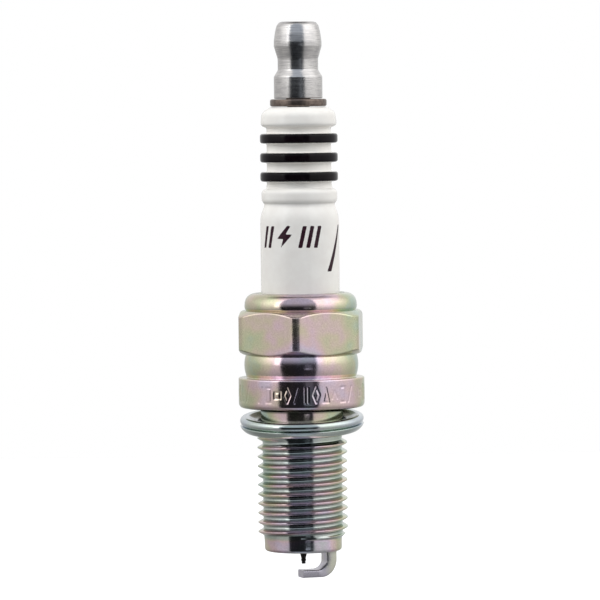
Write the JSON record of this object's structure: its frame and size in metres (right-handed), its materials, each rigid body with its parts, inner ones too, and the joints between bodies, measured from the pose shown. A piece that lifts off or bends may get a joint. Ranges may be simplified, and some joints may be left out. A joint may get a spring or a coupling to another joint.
{
  "type": "spark plug",
  "caption": "Spark plug with a ribbed ceramic insulator, screw-on terminal nut, hexagonal steel body, long threaded end, loose sealing ring and fine-wire electrode.",
  "frame": {"origin": "on the axis, in the plane of the flange's underside, from which the reach is measured", "axes": "+Z along the axis towards the terminal, +X to the right and +Y to the back as the plug is seen from the front"},
  "size_m": [0.0168, 0.018, 0.0742],
  "materials": {
    "zinc_plated_steel": "zinc plate with a pale gold, pink and green passivation film",
    "glazed_ceramic": "white glazed ceramic with near-black painted ribs",
    "oxidised_steel": "steel browned by heat",
    "turned_aluminium": "bright turned",
    "seal_glass": "fused copper and glass powder",
    "resistor_compound": "fused carbon and glass powder",
    "dark_nickel": "dull dark nickel alloy",
    "copper": "drawn copper",
    "iridium": "satin",
    "nickel_alloy": "matt grey-olive nickel alloy",
    "packing_steel": "plain drawn steel",
    "talc": "pressed powder",
    "bright_zinc": "bright zinc-plated sheet steel"
  },
  "bodies": {
    "plug_body": {"metal_shell": "zinc_plated_steel", "insulator": "glazed_ceramic", "terminal_stud": "oxidised_steel", "upper_glass_seal": "seal_glass", "resistor": "resistor_compound", "lower_glass_seal": "seal_glass", "centre_electrode": "dark_nickel", "centre_electrode_copper_core": "copper", "iridium_tip": "iridium", "tip_weld_ring": "dark_nickel", "ground_electrode": "nickel_alloy", "seat_packing_washer": "packing_steel", "talc_filling": "talc", "upper_packing_ring": "packing_steel", "lower_packing_ring": "packing_steel"},
    "screw_on_nut": {"terminal_nut": "turned_aluminium"},
    "sealing_ring": {"gasket": "bright_zinc"}
  },
  "joints": [
    {"name": "terminal_nut_lift", "type": "slide", "parent": "plug_body", "child": "screw_on_nut", "axis": [0, 0, 1], "range_m": [0, 0.008]},
    {"name": "gasket_float", "type": "slide", "parent": "plug_body", "child": "sealing_ring", "axis": [0, 0, 1], "range_m": [-0.0005, 0.0003]}
  ]
}
